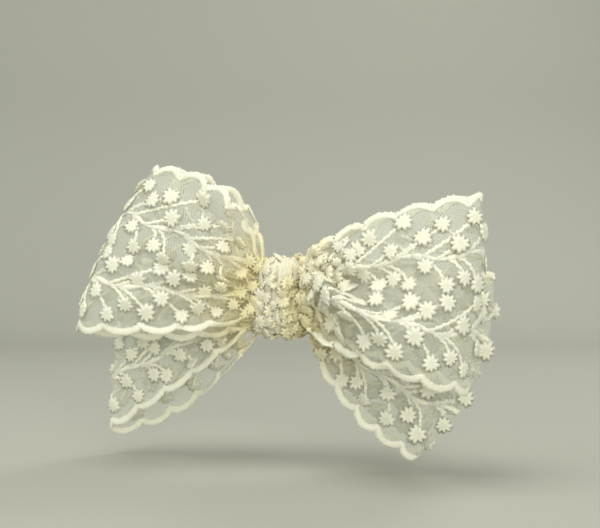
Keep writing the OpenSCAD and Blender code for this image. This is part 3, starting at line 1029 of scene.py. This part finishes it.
def wound_thread(lace):
    """Turns of twisted thread round the gathered lace."""
    low, high = box_of("binding_thread")
    middle, rise = (low + high) / 2, high[0] - low[0] - 2 * THREAD_R
    deep, tall = (high - low)[1:] / 2 - THREAD_R
    turn = rounded_line([(-deep, -tall), (deep, -tall), (deep, tall), (-deep, tall)], 0.5, 0.3, closed=True)
    wound = np.tile(turn, (THREAD_TURNS, 1))
    x = middle[0] + rise * np.linspace(-0.5, 0.5, len(wound))
    line = np.column_stack([x, middle[1:] + wound])
    across = np.tile([1.0, 0, 0], (len(line), 1))
    out = np.cross(unit(np.gradient(line, axis=0)), across)
    work = Work()
    tube(work, line, across, out, 0.9 * THREAD_R, 0.9 * THREAD_R, sides=8)
    return work.make("wound_thread", thread_material("Binding thread", lace))


def back_stitches(lace):
    """Slanting stitches that close the knot band behind."""
    low, high = box_of("knot_stitches")
    work = Work()
    s = np.linspace(0, 1, 26)
    tapered = 0.55 + 0.45 * np.minimum(1, 6 * np.minimum(s, 1 - s))
    thick = STITCH_R * (0.9 + 0.12 * np.sin(2 * np.pi * s * 7)) * tapered
    behind = np.tile([0.0, 1.0, 0], (len(s), 1))
    y, z = low[1] + 0.1 + 0.25 * np.sin(np.pi * s), low[2] + (high[2] - low[2]) * s
    for place in np.linspace(low[0] + 0.3, high[0] - 0.3, STITCHES):
        line = np.column_stack([place + 0.9 * (s - 0.5), y, z])
        run = unit(np.gradient(line, axis=0))
        across = np.cross(behind, run)
        tube(work, line, across, np.cross(run, across), thick, thick, sides=8)
    return work.make("back_stitches", thread_material("Sewing thread", lace))


def soft_block(name, node, corner, voxel, rough, grain):
    """A flat block with rounded corners and an uneven surface, in a node's place. Its sizes are metres."""
    low, high = (Vector(p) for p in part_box(node))
    size = high - low
    fresh()
    bpy.ops.mesh.primitive_cube_add(size=1, location=(low + high) / 2)
    piece = bpy.context.object
    piece.name = piece.data.name = name
    piece.scale = size - Vector((2, 1, 2)) * rough
    bpy.ops.object.transform_apply(location=True, rotation=True, scale=True)
    pick_edges(piece, lambda a, b: abs(a.y - b.y) > size.y / 2)
    bpy.ops.mesh.bevel(offset=corner, segments=6, affect="EDGES")
    bpy.ops.mesh.select_all(action="SELECT")
    bpy.ops.mesh.normals_make_consistent(inside=False)
    bpy.ops.object.mode_set(mode="OBJECT")
    cells = piece.modifiers.new("Cells", "REMESH")
    cells.mode, cells.voxel_size, cells.use_smooth_shade = "VOXEL", voxel, True
    soften = piece.modifiers.new("Soften", "SMOOTH")
    soften.factor, soften.iterations = 0.5, 3
    lumps = bpy.data.textures.new(name + " lumps", "CLOUDS")
    lumps.noise_scale = grain
    uneven = piece.modifiers.new("Uneven", "DISPLACE")
    uneven.texture, uneven.strength, uneven.mid_level, uneven.texture_coords = lumps, rough, 0.5, "LOCAL"
    settle(piece)
    return piece


def felt_material():
    made, tree, bsdf = material(
        "Felt", Roughness=0.95, Sheen_Weight=0.6, Sheen_Roughness=0.6, Specular_IOR_Level=0.15
    )
    place = on_piece(tree)
    tufts = clouds(tree, place, 500.0, 3.0)
    fibres = add(tree, "ShaderNodeTexNoise", {
        "Vector": place, "Scale": 2600.0, "Detail": 5.0, "Distortion": 2.5,
    }).outputs["Fac"]
    tree.links.new(mix_colour(tree, tufts, (0.74, 0.7, 0.58), (0.88, 0.85, 0.74)), bsdf.inputs["Base Color"])
    bump(tree, bsdf, maths(tree, "MULTIPLY_ADD", tufts, 0.6, fibres), 0.7, 0.0002)
    return made


def glue_material():
    made, tree, bsdf = material(
        "Hot glue", Coat_Weight=0.3, Coat_Roughness=0.2, Subsurface_Weight=0.6, Subsurface_Scale=0.002,
        IOR=1.48,
    )
    cloud = clouds(tree, on_piece(tree), 260.0, 3.0)
    colour = mix_colour(tree, cloud, (0.78, 0.72, 0.55), (0.86, 0.82, 0.68))
    tree.links.new(colour, bsdf.inputs["Base Color"])
    tree.links.new(spread(tree, cloud, 0.22, 0.42), bsdf.inputs["Roughness"])
    bump(tree, bsdf, cloud, 0.4, 0.0003)
    return made


def thread_material(name, lace):
    """Twisted thread: its plies slant across it."""
    made, tree, bsdf = material(name, Roughness=0.55, Sheen_Weight=0.3, Specular_IOR_Level=0.35)
    plies = use_group(tree, "Satin stitches", stitch_group, {"Pattern": pattern(tree), "Pitch": 0.45})
    tree.links.new(shaded(tree, tuple(lace.thread_colour), plies["Shade"]), bsdf.inputs["Base Color"])
    bump(tree, bsdf, plies["Height"], 0.6, 0.0001)
    return made


class LACEBOW_OT_backing(bpy.types.Operator):
    """Adds the binding thread, the closing stitches, the felt pad and the glue"""

    bl_idname = "lacebow.backing"
    bl_label = "Thread, felt and glue"

    def execute(self, context):
        lace = context.scene.lacebow_lace
        felt = soft_block("felt_cushion", "felt_pad", 0.003, 0.0003, 0.00012, 0.0012)
        felt.data.materials.append(felt_material())
        glue = soft_block("glue_bead", "glue_layer", 0.002, 0.00025, 0.00012, 0.003)
        glue.data.materials.append(glue_material())
        made = (
            (wound_thread(lace), "thread", "binding_thread"),
            (back_stitches(lace), "thread", "knot_stitches"),
            (felt, "felt", "felt_pad"), (glue, "glue", "glue_layer"),
        )
        for piece, finish, node in made:
            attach(piece, "bow")
            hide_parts(node)
        return {"FINISHED"}


# ---------------------------------------------------------------- the clip, in millimetres

HINGE_X, HINGE_Y = 10.0, 3.6
RIBBON_T, RIBBON_STEP = 0.36, 0.15
# how far the ribbon's ends stop before and behind the pin
RIBBON_GAP = 3.7
# the ribbon's section from selvedge to selvedge: (place across, height), as shares of its half sizes
SELVEDGES = [(-1.0, 0.4), (-0.98, 1.0), (-0.94, 0.85), (0.0, 0.8), (0.94, 0.85), (0.98, 1.0), (1.0, 0.4)]
WIRE_R, COIL_R, COIL_TURNS = 0.4, 1.95, 4.5


def ribbon_material(clip):
    made, tree, bsdf = material("Ribbon", Roughness=0.65, Sheen_Weight=0.3, Specular_IOR_Level=0.3)
    weave = add(tree, "ShaderNodeTexWave", {
        "Vector": pattern(tree), "Scale": 1.1, "Distortion": 0.6,
    }, bands_direction="Y").outputs["Fac"]
    # Darker in the hollows between the ribs, which is painted shade, and in random clouds of tone.
    rib_shade_and_tone = maths(tree, "MULTIPLY", clouds(tree, on_piece(tree), 160.0, 3.0), weave)
    dull = tuple(0.86 * x for x in clip.ribbon_colour)
    tree.links.new(mix_colour(tree, rib_shade_and_tone, dull, tuple(clip.ribbon_colour)), bsdf.inputs["Base Color"])
    bump(tree, bsdf, weave, 0.3, 0.00006)
    return made


def drawn_group(name):
    """Fine lines along X, as drawing and tumbling leave on steel, with a few smudges."""
    tree, into, out = new_group(name, {"Fineness": 900.0}, ("Lines", "Smudge"))
    place = on_piece(tree)
    long = vectors(tree, "MULTIPLY", place, (0.04, 1, 1))
    tree.links.new(clouds(tree, long, into["Fineness"], 4.0), out["Lines"])
    tree.links.new(clouds(tree, place, 120.0, 4.0), out["Smudge"])
    return tree


def steel_material(name, colour, smooth, rough, fineness=900.0):
    made, tree, bsdf = material(name, Metallic=1.0)
    drawn = use_group(tree, "Drawn steel", drawn_group, {"Fineness": fineness})
    lines, smudge = drawn["Lines"], drawn["Smudge"]
    rub = maths(tree, "MULTIPLY_ADD", lines, 0.35, maths(tree, "MULTIPLY", smudge, 0.65))
    tree.links.new(spread(tree, rub, smooth, rough, 0.3, 0.7), bsdf.inputs["Roughness"])
    dull = tuple(0.85 * x for x in colour)
    tree.links.new(mix_colour(tree, smudge, dull, colour), bsdf.inputs["Base Color"])
    bump(tree, bsdf, lines, 0.15, 0.00003)
    return made


def lining_ribbon(clip):
    """A ribbed ribbon round the upper leaf, turned in at both its ends. Returns it and its length."""
    low, high = box_of("clip_ribbon")
    inner, outer = high[1] - 0.2, low[1] + 0.2
    tip, heel = low[0] + 0.2, high[0] - 0.2
    line = rounded_line([
        (HINGE_X + RIBBON_GAP, inner), (heel, inner), (heel, outer), (tip, outer), (tip, inner),
        (HINGE_X - RIBBON_GAP, inner),
    ], 0.34, RIBBON_STEP)
    run = unit(np.gradient(line, axis=0))
    level = np.zeros(len(line))
    out = np.column_stack([run[:, 1], -run[:, 0], level])
    across = np.tile([0, 0, 1.0], (len(line), 1))
    along = np.arange(len(line)) * RIBBON_STEP
    rib = RIBBON_T / 2 * (0.86 + 0.2 * np.sin(2 * np.pi * along * MM / clip.rib))
    section = [(c, -s) for c, s in SELVEDGES] + SELVEDGES[::-1]
    work = Work()
    tube(work, np.column_stack([line, level]), across, out, clip.ribbon / MM / 2, rib, section=section)
    return work.make("lining_ribbon", ribbon_material(clip)), len(line) * RIBBON_STEP


def spring_wire():
    """A coil of wire on the pin. One leg lies on the upper leaf's lever and the other under the lower one's.

    Returns it and half the coil's length, in metres.
    """
    low, high = box_of("hinge_spring")
    leg = float(high[0]) - HINGE_X
    half = (high[2] - low[2]) / 2 - WIRE_R
    ends = (float(low[1]) + WIRE_R - HINGE_Y, float(high[1]) - WIRE_R - HINGE_Y)
    hinge = Vector((HINGE_X, HINGE_Y, 0)) * MM
    fresh()
    bpy.ops.mesh.primitive_circle_add(vertices=12, radius=WIRE_R * MM, fill_type="NOTHING", location=hinge)
    piece = bpy.context.object
    piece.name = piece.data.name = "spring_wire"
    bpy.ops.object.mode_set(mode="EDIT")
    bpy.ops.mesh.select_all(action="SELECT")
    bpy.ops.transform.rotate(value=math.pi / 2, orient_axis="Y", center_override=hinge)
    bpy.ops.transform.translate(value=(0, -COIL_R * MM, -half * MM))
    bpy.ops.object.mode_set(mode="OBJECT")
    screw = piece.modifiers.new("Coil", "SCREW")
    screw.angle, screw.screw_offset = -2 * math.pi * COIL_TURNS, 2 * half * MM
    screw.steps = screw.render_steps = int(20 * COIL_TURNS)
    screw.use_smooth_shade = True
    fresh()
    piece.select_set(True)
    bpy.ops.object.modifier_apply(modifier=screw.name)
    for side, end in zip((-1, 1), ends):
        start = Vector((0, side * COIL_R, side * half)) * MM

        def on_end(a, b, start=start):
            return all((v - start).length < 1.05 * WIRE_R * MM and abs(v.x) < 0.02 * MM for v in (a, b))

        pick_edges(piece, on_end)
        whole = Vector((leg, end - side * COIL_R, 0)) * MM
        reached = 0.0
        for share in (0.5, 0.97, 1.0):
            step = whole * (share - reached)
            bpy.ops.mesh.extrude_region_move(TRANSFORM_OT_translate={"value": step})
            reached = share
        bpy.ops.transform.resize(value=(1, 0.7, 0.7), center_override=hinge + start + whole)
        bpy.ops.mesh.edge_face_add()
    bpy.ops.mesh.select_all(action="SELECT")
    bpy.ops.mesh.normals_make_consistent(inside=False)
    settle(piece)
    bpy.ops.object.shade_smooth_by_angle(angle=math.radians(50))
    piece.data.materials.append(steel_material("Spring steel", (0.42, 0.42, 0.44), 0.24, 0.4, 1500.0))
    return piece, half * MM


class LACEBOW_OT_clip(bpy.types.Operator):
    """Lines the clip with ribbon, adds its spring and finishes its steel"""

    bl_idname = "lacebow.clip"
    bl_label = "Clip"

    def execute(self, context):
        clip = context.scene.lacebow_clip
        plated = steel_material("Plated steel", tuple(clip.steel_colour), 0.16, 0.34)
        pin = steel_material("Pin steel", tuple(clip.steel_colour), 0.12, 0.25, 500.0)
        for node, made in (("clip_upper_leaf", plated), ("clip_lower_leaf", plated), ("hinge_pin", pin)):
            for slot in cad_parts[node].material_slots:
                slot.material = made
        ribbon, length = lining_ribbon(clip)
        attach(ribbon, "bow")
        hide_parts("clip_ribbon")
        spring, half = spring_wire()
        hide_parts("hinge_spring")
        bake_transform(spring)
        return {"FINISHED"}


# ---------------------------------------------------------------- the stage, in metres

KNOT = Vector((0, -0.012, 0))
# the point of the bow that touches the floor
LOWEST = Vector((0.0368, -0.006, -0.0428))
# the camera is right of and above the knot by these shares of its distance
SHIFT_RIGHT, SHIFT_UP = 0.0192, 0.0317
# each light's name, place, size, power and colour
LIGHTS = (
    ("Overhead", Vector((-0.12, -0.25, 0.62)), 0.45, 2.4, (1.0, 0.99, 0.96)),
    ("Front fill", Vector((0.42, -0.7, 0.1)), 0.6, 4.6, (1.0, 0.99, 0.97)),
    ("Left fill", Vector((-0.7, -0.3, 0.2)), 0.5, 0.8, (0.97, 1.0, 0.98)),
    ("Back fill", Vector((0.15, 0.42, 0.5)), 0.3, 1.2, (1.0, 1.0, 0.97)),
)


def set_camera(look):
    """Adds the camera. Returns its right, its up and the way it looks."""
    az, lean = look.azimuth, look.lean
    level, tall = Vector((math.cos(az), math.sin(az), 0)), Vector((0, 0, 1))
    right = level * math.cos(lean) + tall * math.sin(lean)
    up = tall * math.cos(lean) - level * math.sin(lean)
    ahead = Vector((-math.sin(az), math.cos(az), 0))
    place = KNOT + (right * SHIFT_RIGHT + up * SHIFT_UP - ahead) * look.distance
    camera = bpy.data.cameras.new("Camera")
    camera.lens, camera.sensor_width = look.lens, 36
    camera.clip_start, camera.clip_end = 0.01, 20
    holder = link("Camera", camera)
    holder.matrix_world = Matrix((
        (right.x, up.x, -ahead.x, place.x), (right.y, up.y, -ahead.y, place.y),
        (right.z, up.z, -ahead.z, place.z), (0, 0, 0, 1),
    ))
    bpy.context.scene.camera = holder
    return right, up, ahead


def hang_backdrop(look, right, up, ahead):
    """A seamless sheet, square to the view: a floor, a wide bend and a wall."""
    floor = LOWEST.dot(up) - 0.0015
    near, wall, top, radius, half = -2.0, 0.62, 2.2, 0.2, 3.0
    turn = [(wall - radius + radius * math.sin(a), floor + radius * (1 - math.cos(a)))
            for a in np.linspace(0, math.pi / 2, 24)]
    profile = [(near, floor), *turn, (wall, top)]
    points = [ahead * d + right * side + up * h for side in (-half, half) for d, h in profile]
    count = len(profile)
    faces = [(k, count + k, count + k + 1, k + 1) for k in range(count - 1)]
    mesh = bpy.data.meshes.new("Backdrop")
    mesh.from_pydata(points, [], faces)
    mesh.polygons.foreach_set("use_smooth", [True] * len(mesh.polygons))
    made, tree, bsdf = material("Backdrop", Roughness=0.9, Specular_IOR_Level=0.1)
    mottle = spread(tree, clouds(tree, on_piece(tree), 3.0, 2.0), 0.96, 1.04)
    tree.links.new(shaded(tree, tuple(look.floor_colour), mottle), bsdf.inputs["Base Color"])
    mesh.materials.append(made)
    link("Backdrop", mesh)


def set_lights():
    for name, place, size, power, colour in LIGHTS:
        light = bpy.data.lights.new(name, "AREA")
        light.shape, light.size, light.energy, light.color = "DISK", size, power, colour
        lamp = link(name, light)
        lamp.location = place
        lamp.visible_camera = False
        lamp.rotation_euler = (KNOT - place).to_track_quat("-Z", "Y").to_euler()
    world = bpy.data.worlds.new("Room")
    world.use_nodes = True
    sky = next(n for n in world.node_tree.nodes if n.type == "BACKGROUND")
    sky.inputs["Color"].default_value = (0.80, 0.83, 0.78, 1)
    sky.inputs["Strength"].default_value = 0.66
    bpy.context.scene.world = world


class LACEBOW_OT_stage(bpy.types.Operator):
    """Sets the camera, the backdrop and the soft lights"""

    bl_idname = "lacebow.stage"
    bl_label = "Stage"

    def execute(self, context):
        look = context.scene.lacebow_stage
        hang_backdrop(look, *set_camera(look))
        set_lights()
        context.scene.view_settings.view_transform = "Standard"
        return {"FINISHED"}


# ---------------------------------------------------------------- the add-on


class LACEBOW_PT_panel(bpy.types.Panel):
    """The bow's pieces, sizes and colours"""

    bl_idname = "LACEBOW_PT_panel"
    bl_label = "Lace hair bow"
    bl_space_type = "VIEW_3D"
    bl_region_type = "UI"
    bl_category = "Lace bow"

    def draw(self, context):
        for maker in MAKERS:
            self.layout.operator(maker.bl_idname)
        for name in SETTINGS:
            settings = getattr(context.scene, name)
            box = self.layout.box()
            for key in settings.__annotations__:
                box.prop(settings, key)


SETTINGS = {
    "lacebow_lace": LaceSettings, "lacebow_knot": KnotSettings, "lacebow_clip": ClipSettings,
    "lacebow_stage": StageSettings,
}
MAKERS = (LACEBOW_OT_lace, LACEBOW_OT_knot, LACEBOW_OT_backing, LACEBOW_OT_clip, LACEBOW_OT_stage)


def register():
    for kind in (*SETTINGS.values(), *MAKERS, LACEBOW_PT_panel):
        bpy.utils.register_class(kind)
    for name, kind in SETTINGS.items():
        setattr(bpy.types.Scene, name, bpy.props.PointerProperty(type=kind))


def unregister():
    for name in SETTINGS:
        delattr(bpy.types.Scene, name)
    for kind in reversed((*SETTINGS.values(), *MAKERS, LACEBOW_PT_panel)):
        bpy.utils.unregister_class(kind)


def main():
    register()
    bpy.ops.object.select_all(action="DESELECT")
    bpy.ops.lacebow.stage()
    bpy.ops.lacebow.lace()
    bpy.ops.lacebow.knot()
    bpy.ops.lacebow.backing()
    bpy.ops.lacebow.clip()


if __name__ == "__main__":
    main()
